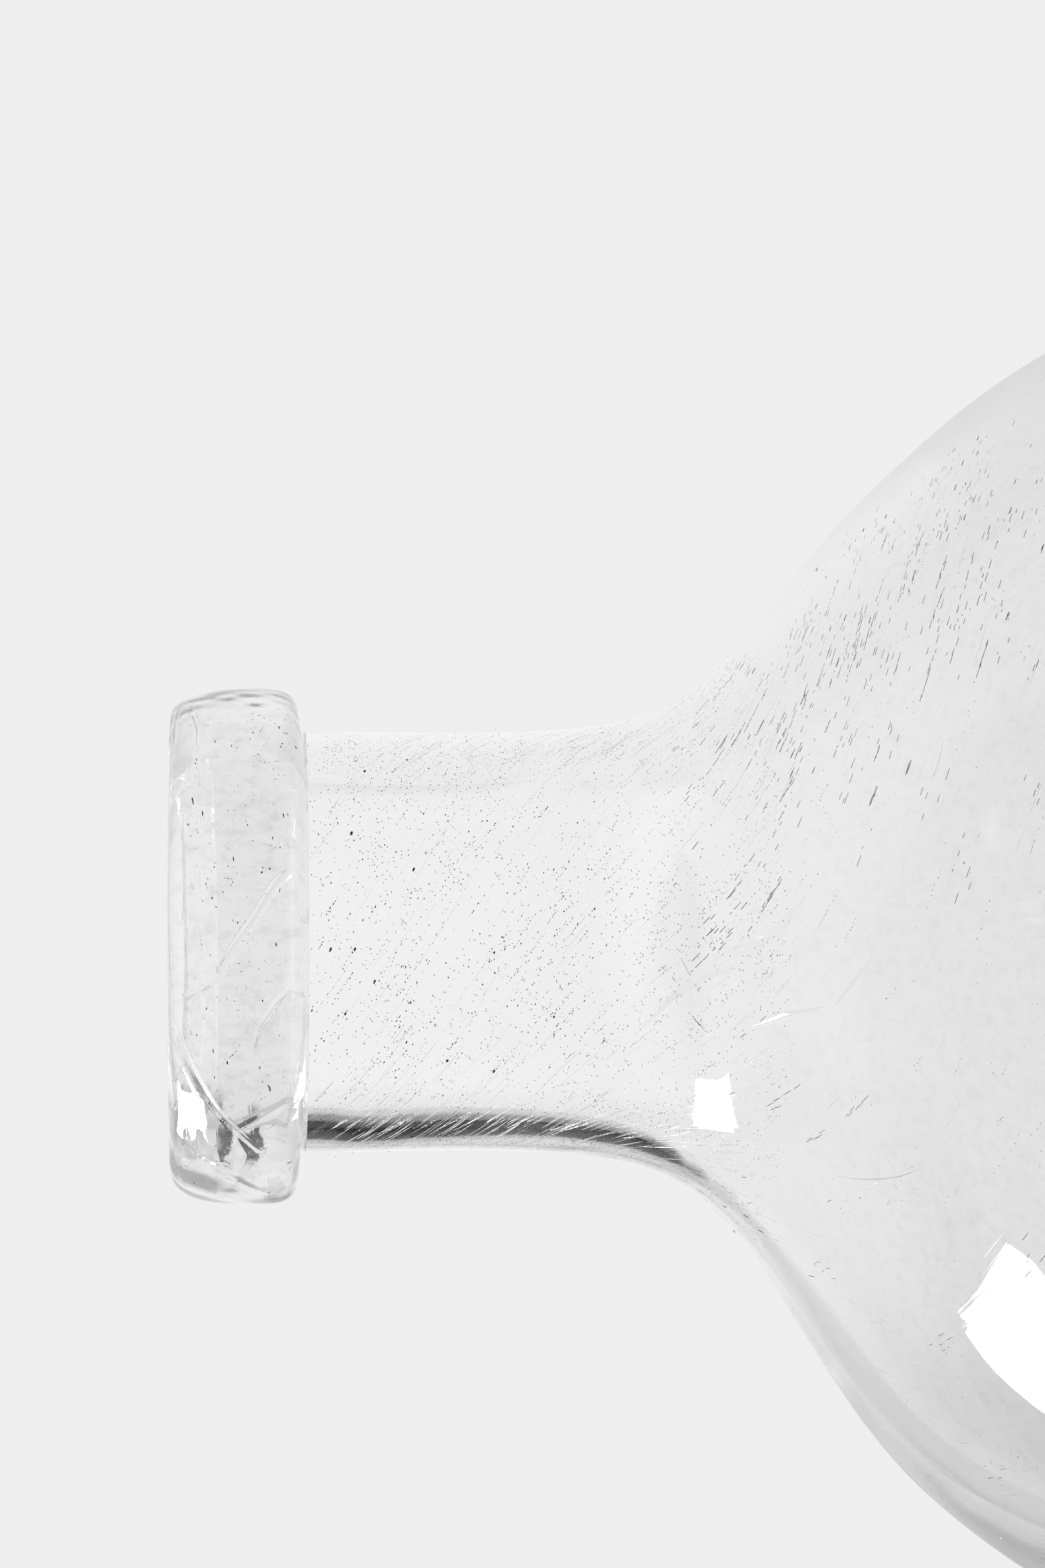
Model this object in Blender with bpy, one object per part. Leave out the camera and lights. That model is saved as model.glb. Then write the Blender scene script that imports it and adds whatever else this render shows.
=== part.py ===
"""Hand-blown glass demijohn: a globe-shaped fermenting bottle with an applied lip.

Frame: metres, +Z up. The origin is on the surface that the bottle stands on, under the middle of its globe.
The bottle stands upright. Its neck is set over a little towards +X, as hand-blown necks are.
"""

from math import cos, pi, radians, sin

import bmesh
import bpy
from mathutils import Vector

# Driving dimensions, in metres.
MOUTH_Z = 0.240  # top of the lip
GLOBE_R = 0.0914  # outside of the globe
GLOBE_Z = 0.0815  # height of the globe's centre
NECK_R = 0.02655  # outside of the neck where it is slimmest
NECK_TOP_R = 0.0268  # outside of the neck under the lip
NECK_FOOT_Z = 0.205  # where the neck starts to flare into the shoulder
NECK_SET_OVER = 0.0035  # how far the neck stands off the globe's axis
SET_OVER_LOW_Z = 0.143
SET_OVER_HIGH_Z = 0.168

# The shoulder is a cubic curve from the neck's foot to the globe.
SHOULDER_ANGLE = radians(54)  # how far above its equator the globe begins
SHOULDER_NECK_HANDLE = 0.0328
SHOULDER_GLOBE_HANDLE = 0.0288

# Below its equator the globe is fuller than a sphere, down to a flat standing ring.
STAND_R = 0.050
STAND_INNER_R = 0.044
BELLY_HANDLE = 0.044
HEEL_HANDLE = 0.022
PUNT_H = 0.020  # how far the base is pushed up in its middle
BASE_WALL = 0.0055
INNER_HEEL_R = 0.040  # where the floor of the inside levels out
INNER_HEEL_HANDLE = 0.016
INNER_WALL_HANDLE = 0.010
UNDERSIDE_RINGS = (0.018, 0.026, 0.034, 0.040)  # radii of the rings that the punt's curve is made of
FLOOR_RINGS = (0.033, 0.026, 0.018, 0.009)

# Wall thickness by the height of the outside: (height, thickness).
WALLS = (
    (0.016, 0.0036),
    (0.030, 0.0030),
    (GLOBE_Z, 0.0025),
    (0.150, 0.0029),
    (0.170, 0.0034),
    (NECK_FOOT_Z, 0.0040),
    (MOUTH_Z, 0.0040),
)

# The applied lip: a ring of glass wound over the neck's cut end.
LIP_R = 0.0328  # widest
LIP_UNDER_Z = 0.2228  # where its underside meets the neck
NECK_END_Z = 0.2336
LIP_BORE_R = 0.0229
# Its three curves by their ends and handles, each as (how far inside LIP_R, how far below MOUTH_Z).
LIP_MOUTH_CURVE = ((0.0099, 0.0038), (0.0099, 0.0014), (0.0088, 0), (0.0072, 0))
LIP_RIM_CURVE = ((0.0043, 0), (0.0016, 0), (0.0010, 0.0028), (0.0004, 0.0055))
LIP_SIDE_CURVE = ((0, 0.0095), (-0.0001, 0.0138), (0.0006, 0.0148), (0.0026, 0.0157))
LIP_OFF_CENTRE = 0.0005  # the ring is thicker towards -X
FIT_GAP = 0.0003  # between pieces that touch

# The pontil scar: glass left by the iron that held the bottle while its lip was made.
PONTIL_R = 0.0105  # where it meets the punt
PONTIL_EDGE_R = 0.0108
PONTIL_FACE_R = 0.0085  # its lower face
PONTIL_MIDDLE_R = 0.005
PONTIL_DEPTH = 0.0022

SEGMENTS = 48  # round the axis
SHOULDER_STEPS = 12  # rings along each curve
GLOBE_STEPS = 7
BELLY_STEPS = 11
HEEL_STEPS = 5
LIP_MOUTH_STEPS = 3
LIP_RIM_STEPS = 4
LIP_SIDE_STEPS = 4


def wall_at(z):
    """Wall thickness where the outside is at height z."""
    if z <= WALLS[0][0]:
        return WALLS[0][1]
    for (low, thin), (high, thick) in zip(WALLS, WALLS[1:]):
        if z <= high:
            return thin + (thick - thin) * (z - low) / (high - low)
    return WALLS[-1][1]


def cubic(start, start_handle, end_handle, end, steps):
    """Points of a cubic curve, both ends included."""
    points = []
    for i in range(steps + 1):
        t = i / steps
        u = 1 - t
        points.append(
            u**3 * Vector(start)
            + 3 * u * u * t * Vector(start_handle)
            + 3 * u * t * t * Vector(end_handle)
            + t**3 * Vector(end)
        )
    return points


def globe_point(angle):
    """(radius, height) on the globe, by the angle above its equator."""
    return Vector((GLOBE_R * cos(angle), GLOBE_Z + GLOBE_R * sin(angle)))


def punt_z(r):
    """Height of the base's underside at radius r: a smooth push-up that meets the standing ring level."""
    return PUNT_H * (1 + cos(pi * min(r, STAND_INNER_R) / STAND_INNER_R)) / 2


def outside_wall():
    """(radius, height) points of the outside, from the neck's cut end down to the standing ring."""
    neck = [Vector((NECK_TOP_R, NECK_END_Z)), Vector((NECK_TOP_R, LIP_UNDER_Z))]
    globe_start = globe_point(SHOULDER_ANGLE)
    uphill = Vector((-sin(SHOULDER_ANGLE), cos(SHOULDER_ANGLE)))
    shoulder = cubic(
        (NECK_R, NECK_FOOT_Z),
        (NECK_R, NECK_FOOT_Z - SHOULDER_NECK_HANDLE),
        globe_start + uphill * SHOULDER_GLOBE_HANDLE,
        globe_start,
        SHOULDER_STEPS,
    )
    globe = [
        globe_point(SHOULDER_ANGLE * (1 - i / GLOBE_STEPS))
        for i in range(1, GLOBE_STEPS + 1)
    ]
    belly = cubic(
        (GLOBE_R, GLOBE_Z),
        (GLOBE_R, GLOBE_Z - BELLY_HANDLE),
        (STAND_R + HEEL_HANDLE, 0),
        (STAND_R, 0),
        BELLY_STEPS,
    )
    return neck + shoulder + globe + belly[1:]


def inset(outline):
    """The outline moved inwards by the wall's thickness, across its own direction."""
    inner = []
    for i, point in enumerate(outline):
        before = outline[max(i - 1, 0)]
        after = outline[min(i + 1, len(outline) - 1)]
        along = (after - before).normalized()
        inwards = Vector((along.y, -along.x))
        inner.append(point + inwards * wall_at(point.y))
    return inner


def vessel_outline():
    """Closed section of the blown vessel: from the axis under the punt, up the outside, down the inside."""
    wall = outside_wall()
    underside_rings = (0, PONTIL_MIDDLE_R, PONTIL_R, *UNDERSIDE_RINGS, STAND_INNER_R)
    underside = [Vector((r, punt_z(r))) for r in underside_rings]
    lowest_inner_z = WALLS[0][0]
    inside = [p for p in inset(wall) if p.y > lowest_inner_z]
    inside[0].y = wall[0].y
    down = (inside[-1] - inside[-2]).normalized()
    floor_z = punt_z(INNER_HEEL_R) + BASE_WALL
    inner_heel = cubic(
        inside[-1],
        inside[-1] + down * INNER_WALL_HANDLE,
        (INNER_HEEL_R + INNER_HEEL_HANDLE, floor_z),
        (INNER_HEEL_R, floor_z),
        HEEL_STEPS,
    )
    floor = [Vector((r, punt_z(r) + BASE_WALL)) for r in (*FLOOR_RINGS, 0)]
    return underside + wall[::-1] + inside + inner_heel[1:] + floor


def lip_curve(curve, steps):
    """Points of one of the lip's curves."""
    return cubic(*((LIP_R - inside, MOUTH_Z - below) for inside, below in curve), steps)


def lip_outline():
    """Closed section of the applied lip, round from its bore over the rim and down to the neck."""
    step_z = NECK_END_Z + FIT_GAP
    sleeve_r = NECK_TOP_R + FIT_GAP
    inside = [Vector((sleeve_r, LIP_UNDER_Z)), Vector((sleeve_r, step_z)), Vector((LIP_BORE_R, step_z))]
    mouth = lip_curve(LIP_MOUTH_CURVE, LIP_MOUTH_STEPS)
    rim = lip_curve(LIP_RIM_CURVE, LIP_RIM_STEPS)
    side = lip_curve(LIP_SIDE_CURVE, LIP_SIDE_STEPS)
    return inside + mouth + rim + side


def pontil_outline():
    """Section of the pontil scar, from the axis under it, round its edge and back to the axis above."""
    under = [Vector((r, punt_z(r) - PONTIL_DEPTH)) for r in (0, PONTIL_MIDDLE_R, PONTIL_FACE_R)]
    edge = [Vector((PONTIL_EDGE_R, punt_z(PONTIL_R) - PONTIL_DEPTH / 2))]
    over = [Vector((r, punt_z(r) - FIT_GAP)) for r in (PONTIL_R, PONTIL_MIDDLE_R, 0)]
    return under + edge + over


def turned(name, outline, closed_ring):
    """A solid turned from its section about the Z axis. A closed ring's section doesn't touch the axis."""
    mesh = bpy.data.meshes.new(name)
    shape = bmesh.new()
    corners = [shape.verts.new((p.x, 0, p.y)) for p in outline]
    edges = [shape.edges.new(pair) for pair in zip(corners, corners[1:])]
    if closed_ring:
        edges.append(shape.edges.new((corners[-1], corners[0])))
    bmesh.ops.spin(
        shape,
        geom=corners + edges,
        axis=(0, 0, 1),
        cent=(0, 0, 0),
        angle=2 * pi,
        steps=SEGMENTS,
    )
    bmesh.ops.remove_doubles(shape, verts=shape.verts, dist=1e-6)
    bmesh.ops.recalc_face_normals(shape, faces=shape.faces)
    shape.to_mesh(mesh)
    shape.free()
    mesh.shade_smooth()
    mesh.set_sharp_from_angle(angle=radians(40))
    piece = bpy.data.objects.new(name, mesh)
    bpy.context.scene.collection.objects.link(piece)
    return piece


def set_over(piece):
    """Moves what is above the shoulder sideways, smoothly, to where the neck stands."""
    for vertex in piece.data.vertices:
        t = (vertex.co.z - SET_OVER_LOW_Z) / (SET_OVER_HIGH_Z - SET_OVER_LOW_Z)
        t = min(max(t, 0), 1)
        vertex.co.x += NECK_SET_OVER * t * t * (3 - 2 * t)


def thicken_one_side(lip):
    """Puts the lip's outside off the centre of its bore, which stays round the neck."""
    for vertex in lip.data.vertices:
        r = vertex.co.xy.length
        share = max(r - NECK_TOP_R - FIT_GAP, 0) / (LIP_R - NECK_TOP_R)
        vertex.co.x -= LIP_OFF_CENTRE * share


def clear_glass(name, colour, roughness):
    """A Principled BSDF that lets light through."""
    material = bpy.data.materials.new(name)
    material.use_nodes = True
    shader = material.node_tree.nodes["Principled BSDF"]
    shader.inputs["Base Color"].default_value = (*colour, 1)
    shader.inputs["Roughness"].default_value = roughness
    shader.inputs["Metallic"].default_value = 0
    shader.inputs["Transmission Weight"].default_value = 1
    shader.inputs["IOR"].default_value = 1.52
    return material


def main():
    for old in list(bpy.data.objects):
        bpy.data.objects.remove(old)

    vessel = turned("blown_vessel", vessel_outline(), closed_ring=False)
    set_over(vessel)
    vessel.data.materials.append(clear_glass("vessel_glass", (0.93, 0.94, 0.93), 0.02))

    lip = turned("applied_lip", lip_outline(), closed_ring=True)
    thicken_one_side(lip)
    set_over(lip)
    lip.data.materials.append(clear_glass("lip_glass", (0.92, 0.93, 0.92), 0.03))

    pontil = turned("pontil_scar", pontil_outline(), closed_ring=False)
    pontil.data.materials.append(clear_glass("pontil_glass", (0.88, 0.90, 0.89), 0.25))


main()
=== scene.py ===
"""Looks of a hand-blown glass demijohn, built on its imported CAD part.

Metres, in the part's own frame: +Z up the bottle, whose neck stands a little over to +X.
Each glass piece is turned finely along the outline of its CAD node, and then gets what hot glass has:
uneven walls, twisted streaks and seeds, and the laps and folds of the wound lip.
"""

from math import cos, pi, radians, sin

import bmesh
import bpy
import numpy as np
from mathutils import Matrix, Quaternion, Vector


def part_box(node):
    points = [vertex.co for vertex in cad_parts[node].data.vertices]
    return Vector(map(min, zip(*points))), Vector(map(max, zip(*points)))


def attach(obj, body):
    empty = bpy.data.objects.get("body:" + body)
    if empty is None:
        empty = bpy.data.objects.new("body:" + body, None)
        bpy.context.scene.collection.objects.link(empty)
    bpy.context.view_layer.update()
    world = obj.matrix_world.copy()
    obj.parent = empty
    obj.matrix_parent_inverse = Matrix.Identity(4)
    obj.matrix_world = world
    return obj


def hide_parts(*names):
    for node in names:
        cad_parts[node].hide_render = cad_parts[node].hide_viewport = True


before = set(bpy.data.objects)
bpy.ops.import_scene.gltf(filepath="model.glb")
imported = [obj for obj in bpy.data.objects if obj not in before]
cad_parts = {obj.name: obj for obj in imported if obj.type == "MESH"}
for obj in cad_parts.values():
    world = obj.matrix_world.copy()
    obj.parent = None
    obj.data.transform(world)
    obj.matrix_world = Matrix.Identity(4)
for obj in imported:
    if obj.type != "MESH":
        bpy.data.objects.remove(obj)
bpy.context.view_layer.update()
vessel_low, vessel_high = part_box("blown_vessel")
lip_low, lip_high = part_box("applied_lip")
pontil_low, pontil_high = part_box("pontil_scar")

MM = 0.001

# Sizes read from the frame.
GLOBE_R = (vessel_high.y - vessel_low.y) / 2
NECK_END_Z = vessel_high.z
MOUTH_Z = lip_high.z
LIP_UNDER_Z = lip_low.z
LIP_R = (lip_high.y - lip_low.y) / 2
PONTIL_R = (pontil_high.x - pontil_low.x) / 2

# The rest of the outline, as the CAD part has it.
GLOBE_Z = 81.5 * MM
NECK_R = 26.55 * MM
NECK_TOP_R = 26.8 * MM
NECK_FOOT_Z = 205 * MM
SHOULDER_ANGLE = radians(54)
SHOULDER_NECK_HANDLE = 32.8 * MM
SHOULDER_GLOBE_HANDLE = 28.8 * MM
STAND_R = 50 * MM
STAND_INNER_R = 44 * MM
BELLY_HANDLE = 44 * MM
HEEL_HANDLE = 22 * MM
PUNT_H = 20 * MM
BASE_WALL = 5.5 * MM
INNER_HEEL_R = 40 * MM
INNER_HEEL_HANDLE = 16 * MM
INNER_WALL_HANDLE = 10 * MM
WALL_HEIGHTS = np.array((16, 30, 81.5, 150, 170, 205, 240)) * MM
WALL_WIDTHS = np.array((3.6, 3.0, 2.5, 2.9, 3.4, 4.0, 4.0)) * MM
NECK_SET_OVER = 3.5 * MM
SET_OVER_LOW_Z = 143 * MM
SET_OVER_HIGH_Z = 168 * MM
LIP_BORE_R = 22.9 * MM
LIP_OFF_CENTRE = 0.5 * MM

# The lip's curves from its bore over the rim to its underside, by their ends and handles: millimetres
# inside LIP_R and below MOUTH_Z.
LIP_MOUTH_CURVE = ((9.9, 3.8), (9.9, 1.4), (8.8, 0), (7.2, 0))
LIP_RIM_CURVE = ((4.3, 0), (1.6, 0), (1.0, 2.8), (0.4, 5.5))
LIP_SIDE_CURVE = ((0.4, 5.5), (0.1, 7.0), (0, 8.5), (0, 9.5))
LIP_UNDER_CURVE = ((0, 9.5), (-0.1, 14.2), (0.3, 15.2), (2.2, 15.8))
LIP_FOOT_HANDLE = (-1.9 * MM, -0.6 * MM)

# The lip is fused to the neck, so their glass overlaps by a hair and no air shows between them.
FUSED = 0.03 * MM
# Round the bore, a shallow step shows where the lip was pressed down over the neck's cut end.
GROOVE_DEPTH = 0.14 * MM
GROOVE_HEIGHT = 1.2 * MM
GROOVE_ROUNDING = 0.1 * MM
GROOVE_ROOF_RISE = 0.25 * MM
NECK_END_TILT = 0.016
PONTIL_DEPTH = 2.0 * MM

# Points round the axis, and how much closer together they are towards -Y.
VESSEL_SEGMENTS = 224
VESSEL_CROWDING = 0.25
LIP_SEGMENTS = 560
LIP_CROWDING = 0.4
PONTIL_SEGMENTS = 96

# How far the streaks lean from straight down the wall: in the neck, and by how many degrees that changes
# as the height falls from one number of millimetres to the other.
NECK_LEAN = radians(57)
LEAN_CHANGES = ((200, 178, -14), (172, 150, 20), (110, 15, -40))

# How high the wall's unevenness stands.
OUTER_WAVES = 0.04 * MM
INNER_WAVES = 0.06 * MM
DRAWN_WAVES = 0.003 * MM
TOOL_RINGS = 0.05 * MM

# The same for the lip, which is lumpier towards -X and crumpled next to +X.
LIP_WAVES = 0.10 * MM
LIP_LUMPS = 0.006 * MM
LIP_LUMPS_ONE_SIDE = 0.11 * MM
LUMPY_WAY = radians(-152)
LIP_CRUMPLES = 0.0015 * MM
LIP_CRUMPLES_ONE_SIDE = 0.018 * MM
CRUMPLED_WAY = radians(-38)
LIP_SAG = 0.9 * MM
JACKS_FLAT_WAY = radians(-131)
JACKS_FLAT_HALF_ANGLE = radians(17)
JACKS_FLAT_DEPTH = 0.75 * MM
PONTIL_TORN = 0.25 * MM

# Marks on the lip's side: how proud, how wide, how soft at the edge, and a line of (degrees round from
# +X, height over its underside), in millimetres. The trail's last turn laps over its first along a slant
# from the rim, folds cross it, and towards -X it is pressed into facets.
LAP = ((-105, 16.7), (-110, 15.7), (-116, 14.4), (-122, 12.7), (-128, 10.6), (-133, 8.2), (-138, 6))
LIP_MARKS = (
    (-0.24, 0.55, 0.30, LAP),
    (0.17, 0.30, 0.24, ((-108, 16.6), (-114, 15.7), (-119, 14.6), (-122, 13.8))),
    (0.24, 0.85, 0.34, ((-73, 0), (-73, 1.1), (-71.5, 2.6), (-74.5, 4.1), (-82, 6.6), (-88, 9), (-93, 10.7))),
    (-0.18, 0.50, 0.30, ((-98, 0), (-99.5, 0.8), (-97, 2.6), (-99.5, 4), (-106, 6.3), (-110, 6.9))),
    (-0.18, 0.45, 0.26, ((-100.5, 16.4), (-99, 14.8), (-96.5, 12.5), (-95.5, 11.6))),
    (-0.17, 0.50, 0.28, ((-140, 15.5), (-143, 13.8), (-144, 11.9), (-143, 10.3))),
    (0.30, 0.60, 1.60, ((-131, 8.4), (-124, 3.1), (-135, 2.6))),
    (-0.25, 0.60, 2.40, ((-128, 10), (-140, 7.5), (-155, 9.5))),
    (0.22, 0.60, 2.20, ((-133, 13), (-146, 11), (-158, 5))),
    (-0.17, 0.32, 0.24, ((-82, 3.6), (-81.5, 2.4), (-82.5, 1.2), (-82, -0.2))),
    (-0.16, 0.40, 0.26, ((-57, 15.8), (-55, 14), (-56, 12.6))),
    (-0.15, 0.30, 0.24, ((-66.5, 2.6), (-66, 3.4), (-64.7, 3.4), (-64.7, 2.4), (-66, 2.2), (-66.5, 2.6))),
)

# Half-widths of what is in the glass, in millimetres: the least, the usual excess and the most.
SEED_WIDTHS = (0.04, 0.025, 0.2)
SPECK_WIDTHS = (0.04, 0.009, 0.09)
LIP_SEED_WIDTHS = (0.035, 0.03, 0.25)
# Half-widths in millimetres: the least and the most.
SPECK_LARGE_WIDTHS = (0.10, 0.18)
CORD_WIDTHS = (0.03, 0.07)
COMBED_WIDTHS = (0.05, 0.13)
# No speck below the neck is wider than this.
SPECK_FINE_WIDTH = 0.046 * MM

# Numbers of them, and shares of those numbers. A neck share is of those in the neck and its foot.
SEED_COUNT = 1700
SEED_NECK_SHARE = 0.4
SEED_DRAWN_SHARE = 0.30
SEED_DRAWN_SHARE_BEHIND = 0.03
SPECK_TRAILS = 2500
SPECK_NECK_SHARE = 0.6
SPECK_SHARE_MOVED_FORWARD = 0.8
SPECK_SHOULDER_SHARE = 0.045
SPECK_DRAWN_SHARE = 0.15
SPECK_LARGE_SHARE = 0.007
CORD_COUNT = 300
CORD_NECK_SHARE = 0.75
COMBED_COUNT = 60
LIP_SEED_COUNT = 700
LIP_SPECKS_PER_SEED = 2

# Distances down the wall from the neck's end.
UNDER_LIP_S = 12 * MM
NECK_FOOT_S = 72 * MM
FINE_SPECKS_FROM_S = 48 * MM
DRAWN_SPECKS_FROM_S = 58 * MM

# Larger cords on the side towards -Y: half their width, and a route of (degrees round from +X, distance
# from the neck's end), both in millimetres.
CORD_ROUTES = (
    (0.16, ((-58, 12.5), (-44, 15), (-26, 19.5))),
    (0.10, ((-61, 13.2), (-50, 14.6), (-38, 17))),
    (0.11, ((-88, 19.5), (-67, 25), (-43, 31))),
    (0.09, ((-101, 22), (-86, 26.5), (-70, 31))),
    (1.15, ((-110, 51.6), (-102, 55.2), (-95, 59.4), (-91, 63.7), (-88, 68.5), (-84, 72), (-80, 75))),
    (0.42, ((-106, 65), (-101, 71.5), (-97, 79))),
    (0.40, ((-97, 79.5), (-93, 82.6), (-88.5, 86))),
    (0.16, ((-124, 80.5), (-119.7, 86.3), (-115.5, 91.6), (-112.2, 95.1))),
    (0.20, ((-145.7, 73), (-141.7, 76.7), (-134.3, 83))),
    (0.16, ((-145.2, 84.9), (-141.2, 89.1))),
    (0.14, ((-141.4, 91.8), (-138.2, 95.4))),
    (0.20, ((-155.6, 88.9), (-147.9, 95.6))),
)

# Glass. Streaks are the noise's crests, drawn out along the twist.
GLASS_IOR = 1.52
VESSEL_TINT = (0.987, 0.989, 0.987)
LIP_TINT = (0.975, 0.976, 0.973)
PONTIL_TINT = (0.95, 0.96, 0.95)
AIR_TINT = (1, 1, 1)
STREAK_SQUEEZE = 0.05
STREAK_CRESTS = (0.55, 0.75)
PATCH_WIDTH = 6.25 * MM
# Haze: how much darker it makes the tint, and where it comes in, by the distance along the streaks. On the
# vessel that is below the neck. The lip has it everywhere.
VESSEL_HAZE = 0.06
VESSEL_HAZE_FROM = (49 * MM, 105 * MM)
LIP_HAZE = 0.13
LIP_HAZE_FROM = (-1 * MM, 0)
HAZE_SPOT_WIDTH = 2 * MM
HAZE_SPOTS = (0.52, 0.70)
CHARCOAL = (0.01, 0.01, 0.011, 1)
RUST = (0.12, 0.06, 0.025, 1)
GRAIN_ROUGHNESS = 0.6
GRAIN_COLOUR_SCALE = 90

# The camera looks across the neck and a little down, with its picture turned so that the mouth is at the
# left. Its lens and sensor are in millimetres.
CAMERA_LENS = 100
CAMERA_SENSOR = 36
CAMERA_REACH = 20
CAMERA_DISTANCE = 557 * MM
CAMERA_DOWN = radians(4)
LOOKED_AT = Vector((23.6 * MM, 0, MOUTH_Z - 45 * MM))

# The softbox, in metres and watts.
SOFTBOX_SIZE = (0.28, 0.36)
SOFTBOX_POWER = 5.8
SOFTBOX_AIM = Vector((0, 0, 0.17))
SOFTBOX_WAY = Vector((-0.765, 0.11, 0.645)).normalized()
SOFTBOX_DISTANCE = 1.0
SOFTBOX_TURN = radians(24)

# The room's light by direction, whose parts come in between two values of a unit vector's component.
GROUND_COLOUR = (0.858, 0.858, 0.855, 1)
ROOM_IN_FRONT = 0.50
ROOM_BEHIND = 0.80
ROOM_OVERHEAD = 0.86
ROOM_FRONT_TO_BACK = (-0.4, 0.3)
ROOM_LEVEL_TO_OVERHEAD = (0.05, 0.45)
ROOM_BACK = (0.0, 0.2)
DIM_DEPTH = 0.26
DIM_MINUS_X = (0.15, 0.35)
DARK_DEPTH = 0.97
DARK_MINUS_X_FROM = (0.42, 0.53)
DARK_MINUS_X_TO = (0.84, 0.90)
DARK_Z_FROM = (-0.25, -0.15)
DARK_Z_TO = (0.14, 0.30)

# The glowing sheet behind the bottle, whose light is painted light standing in for a lit backdrop, and the
# places between which its light changes.
SHEET_Y = 120 * MM
SHEET_HALF_WIDTH = 300 * MM
SHEET_TOP = 420 * MM
SHEET_LEVEL_LOW = 0.81
SHEET_LEVEL_HIGH = 0.96
SHEET_LOW_TO_HIGH = (95 * MM, 205 * MM)
# Painted shade on the sheet, as (from, to, how much darker).
SHADE_PLUS_X = (10 * MM, 110 * MM, 0.11)
SHADE_MINUS_X = (30 * MM, 80 * MM, 0.11)
SHADE_ABOVE_MOUTH = (245 * MM, 265 * MM, 0.10)
# Painted shade low down at one side: which side, (from, to) along it, (from, to) in height, how much darker.
SHEET_CORNERS = (
    (1, (60 * MM, 110 * MM), (140 * MM, 180 * MM), 0.05),
    (-1, (50 * MM, 95 * MM), (160 * MM, 200 * MM), 0.20),
    (-1, (95 * MM, 130 * MM), (140 * MM, 165 * MM), 0.28),
)
OPENING_MINUS_X = (68 * MM, 74 * MM)
OPENING_BOTTOM = (178 * MM, 184 * MM)
OPENING_TOP = (219 * MM, 223 * MM)

FLOOR_HALF_SIZE = 0.5
FLOOR_Z = -0.1 * MM
FLOOR_FADE = (0.15, 0.48)
FLOOR_COLOUR = (0.82, 0.82, 0.81, 1)
FLOOR_ROUGHNESS = 0.7

LIGHT_BOUNCES = 256
CLEAR_BOUNCES = 16


def smooth(x, start, end):
    """0 below start and 1 above end, with a smooth rise between them."""
    t = np.clip((x - start) / (end - start), 0, 1)
    return t * t * (3 - 2 * t)


def hump(x, centre, width):
    """A bell, 1 at its centre."""
    return np.exp(-(((x - centre) / width) ** 2))


def cubic(start, start_handle, end_handle, end, steps=200):
    """Points of a cubic curve."""
    t = np.linspace(0, 1, steps + 1)[:, None]
    u = 1 - t
    a, b, c, d = (np.array(p) for p in (start, start_handle, end_handle, end))
    return u**3 * a + 3 * u * u * t * b + 3 * u * t * t * c + t**3 * d


def lengths_along(points):
    """Distance along a line of points, from its first."""
    return np.concatenate(([0], np.cumsum(np.linalg.norm(np.diff(points, axis=0), axis=1))))


def resample(points, spacing):
    """The line again, with its points evenly spaced about that far apart."""
    along = lengths_along(points)
    count = max(int(round(along[-1] / spacing)), 1)
    wanted = np.linspace(0, along[-1], count + 1)
    return np.column_stack([np.interp(wanted, along, points[:, i]) for i in (0, 1)])


def chain(*lines):
    """Lines joined end to end. Each starts where the one before it ends."""
    return np.vstack([lines[0]] + [line[1:] for line in lines[1:]])


def straight(start, end, spacing):
    """A straight line's points."""
    return resample(np.array((start, end), float), spacing)


def angles_round(segments, crowding):
    """Angles round the axis, a little closer together on the -Y side, which carries the finest detail."""
    even = np.linspace(0, 2 * pi, segments, endpoint=False)
    return (even - crowding * np.cos(even))[None, :]


def ripple(seed, count, around, along, theta, s):
    """Smooth unevenness, about 1 high: waves that close round the axis. along is in radians a metre."""
    rng = np.random.default_rng(seed)
    total = np.zeros(np.broadcast(theta, s).shape)
    for _ in range(count):
        turns = rng.integers(around[0], around[1] + 1)
        rate = rng.uniform(*along)
        total += np.cos(turns * theta + rate * s + rng.uniform(0, 2 * pi))
    return total / (count / 2) ** 0.5


def nearest_on(line, u, v):
    """Distance from places (u, v) to a line of points, and how far along it the nearest point is, 0 to 1."""
    line = np.array(line, float)
    along = lengths_along(line)
    distance = np.full(u.shape, np.inf)
    share = np.zeros(u.shape)
    for start, end, so_far in zip(line, line[1:], along):
        length = np.linalg.norm(end - start)
        step_u, step_v = (end - start) / length
        t = np.clip((u - start[0]) * step_u + (v - start[1]) * step_v, 0, length)
        here = np.hypot(u - start[0] - t * step_u, v - start[1] - t * step_v)
        share = np.where(here < distance, (so_far + t) / along[-1], share)
        distance = np.minimum(distance, here)
    return distance, share


def set_over(z):
    """How far the bottle's middle stands towards +X at a height."""
    return NECK_SET_OVER * smooth(z, SET_OVER_LOW_Z, SET_OVER_HIGH_Z)


def end_tilt(x, z):
    """The neck's cut end, and the groove over it, aren't quite level."""
    near_end = hump(z, NECK_END_Z + GROOVE_HEIGHT / 2, 2.5 * MM)
    return NECK_END_TILT * (x - NECK_SET_OVER) * near_end


def punt_z(r):
    """Height of the base's underside at a radius."""
    return PUNT_H * (1 + np.cos(pi * np.minimum(r, STAND_INNER_R) / STAND_INNER_R)) / 2


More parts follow.
